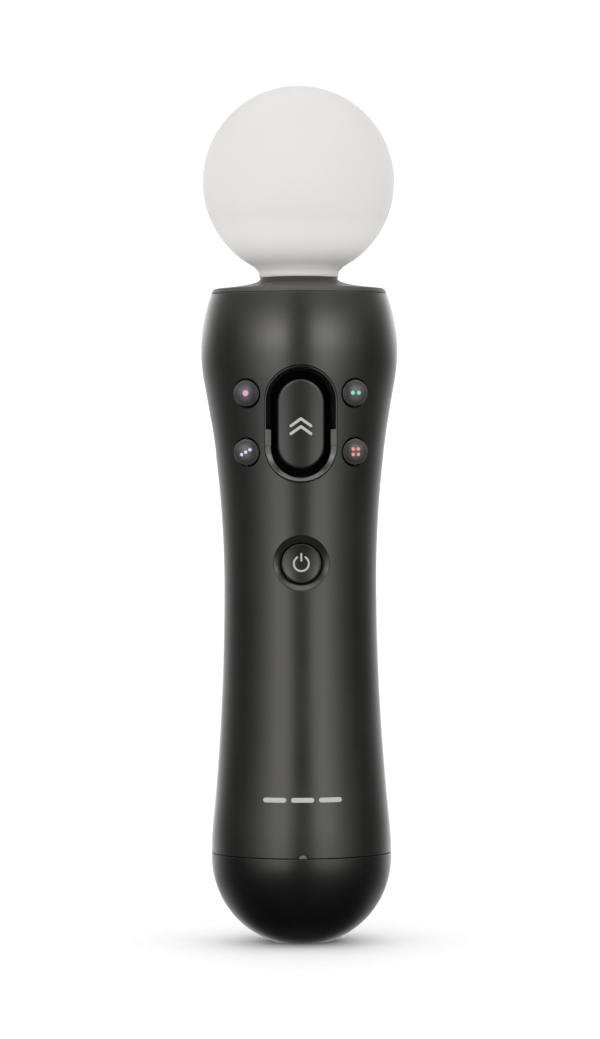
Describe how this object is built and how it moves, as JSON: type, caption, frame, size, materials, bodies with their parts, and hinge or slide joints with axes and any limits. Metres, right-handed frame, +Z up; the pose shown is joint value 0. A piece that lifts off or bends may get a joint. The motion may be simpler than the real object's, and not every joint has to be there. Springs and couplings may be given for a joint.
{
  "type": "vr motion controller",
  "caption": "Hand-held motion controller: a soft light ball on a waisted round handle with thumb buttons in front, side buttons, a finger trigger behind and ports in its foot.",
  "frame": {"origin": "centre of the flat foot of the bottom cap, on the handle's axis", "axes": "+Z up the handle to the ball, -Y towards the thumb buttons, +X to the right of someone facing the buttons"},
  "size_m": [0.0458, 0.0471, 0.2],
  "materials": {
    "soft_ball": "matt translucent white",
    "white_plastic": "matt",
    "clear_plastic": "clear",
    "circuit_board": "green solder mask",
    "steel": "bright",
    "flat_cable": "satin white",
    "collar_plastic": "satin charcoal",
    "casing_plastic": "satin charcoal",
    "cap_plastic": "satin near-black",
    "main_button_plastic": "fine matt charcoal",
    "rim_plastic": "polished black",
    "button_plastic": "satin black",
    "trigger_plastic": "satin black",
    "chassis_plastic": "matt black",
    "dark_rubber": "matt",
    "grey_rubber": "matt",
    "shield_steel": "tinned",
    "chip": "matt black",
    "battery_can": "blue film",
    "lead_wire": "red and black sleeving",
    "weight_metal": "sintered",
    "socket_plastic": "black",
    "gold_contact": "gold plated"
  },
  "bodies": {
    "handle": {"light_ball": "soft_ball", "ball_holder": "white_plastic", "light_guide": "clear_plastic", "rgb_led": "white_plastic", "led_board": "circuit_board", "led_board_screws": "steel", "led_cable": "flat_cable", "top_collar": "collar_plastic", "front_shell": "casing_plastic", "rear_shell": "casing_plastic", "shell_screws": "steel", "bottom_cap": "cap_plastic", "status_lens": "clear_plastic", "main_button_rim": "rim_plastic", "trigger_pin": "steel", "trigger_spring": "steel", "trigger_bracket": "chassis_plastic", "trigger_board": "circuit_board", "trigger_pad": "dark_rubber", "main_board": "circuit_board", "chassis_screws": "steel", "button_membrane": "grey_rubber", "home_membrane": "grey_rubber", "radio_shield": "shield_steel", "processor_chip": "chip", "inertial_sensor_chip": "chip", "compass_chip": "chip", "status_led": "white_plastic", "side_board_left": "circuit_board", "side_board_right": "circuit_board", "side_pad_left": "dark_rubber", "side_pad_right": "dark_rubber", "chassis": "chassis_plastic", "battery": "battery_can", "battery_leads": "lead_wire", "battery_plug": "white_plastic", "battery_socket": "white_plastic", "rumble_motor": "steel", "motor_clamp": "chassis_plastic", "motor_leads": "lead_wire", "port_board": "circuit_board", "port_ribbon": "flat_cable", "usb_socket": "shield_steel", "usb_tongue": "socket_plastic", "extension_socket": "socket_plastic", "extension_contacts": "gold_contact", "charge_contacts": "gold_contact"},
    "main_button": {"main_button": "main_button_plastic"},
    "home_button": {"home_button": "button_plastic"},
    "upper_left_button": {"action_button_upper_left": "button_plastic"},
    "upper_right_button": {"action_button_upper_right": "button_plastic"},
    "lower_left_button": {"action_button_lower_left": "button_plastic"},
    "lower_right_button": {"action_button_lower_right": "button_plastic"},
    "select_button": {"select_button": "button_plastic"},
    "start_button": {"start_button": "button_plastic"},
    "trigger": {"trigger": "trigger_plastic"},
    "rumble_rotor": {"motor_shaft": "steel", "rumble_weight": "weight_metal"}
  },
  "joints": [
    {"name": "main_button_press", "type": "slide", "parent": "handle", "child": "main_button", "axis": [0, 1, 0], "range_m": [0, 0.0009], "stiffness_N_per_m": 1200, "springref_m": -0.0003, "deforming": ["button_membrane"]},
    {"name": "home_button_press", "type": "slide", "parent": "handle", "child": "home_button", "axis": [0, 1, 0], "range_m": [0, 0.0005], "stiffness_N_per_m": 1200, "springref_m": -0.0003, "deforming": ["home_membrane"]},
    {"name": "upper_left_press", "type": "slide", "parent": "handle", "child": "upper_left_button", "axis": [0.2588, 0.9659, 0], "range_m": [0, 0.0008], "stiffness_N_per_m": 1200, "springref_m": -0.0003, "deforming": ["button_membrane"]},
    {"name": "upper_right_press", "type": "slide", "parent": "handle", "child": "upper_right_button", "axis": [-0.2588, 0.9659, 0], "range_m": [0, 0.0008], "stiffness_N_per_m": 1200, "springref_m": -0.0003, "deforming": ["button_membrane"]},
    {"name": "lower_left_press", "type": "slide", "parent": "handle", "child": "lower_left_button", "axis": [0.2588, 0.9659, 0], "range_m": [0, 0.0008], "stiffness_N_per_m": 1200, "springref_m": -0.0003, "deforming": ["button_membrane"]},
    {"name": "lower_right_press", "type": "slide", "parent": "handle", "child": "lower_right_button", "axis": [-0.2588, 0.9659, 0], "range_m": [0, 0.0008], "stiffness_N_per_m": 1200, "springref_m": -0.0003, "deforming": ["button_membrane"]},
    {"name": "select_press", "type": "slide", "parent": "handle", "child": "select_button", "axis": [1, 0, 0], "range_m": [0, 0.0006], "stiffness_N_per_m": 1200, "springref_m": -0.0003, "deforming": ["side_pad_left"]},
    {"name": "start_press", "type": "slide", "parent": "handle", "child": "start_button", "axis": [-1, 0, 0], "range_m": [0, 0.0006], "stiffness_N_per_m": 1200, "springref_m": -0.0003, "deforming": ["side_pad_right"]},
    {"name": "trigger_pull", "type": "hinge", "parent": "handle", "child": "trigger", "pos_m": [0, 0.013, 0.133], "axis": [-1, 0, 0], "range_deg": [0, 10], "stiffness_Nm_per_rad": 0.3, "springref_deg": -2.86, "deforming": ["trigger_spring", "trigger_pad"]},
    {"name": "rumble_spin", "type": "hinge", "parent": "handle", "child": "rumble_rotor", "pos_m": [0, 0, 0.022], "axis": [0, 0, 1], "continuous": true}
  ]
}
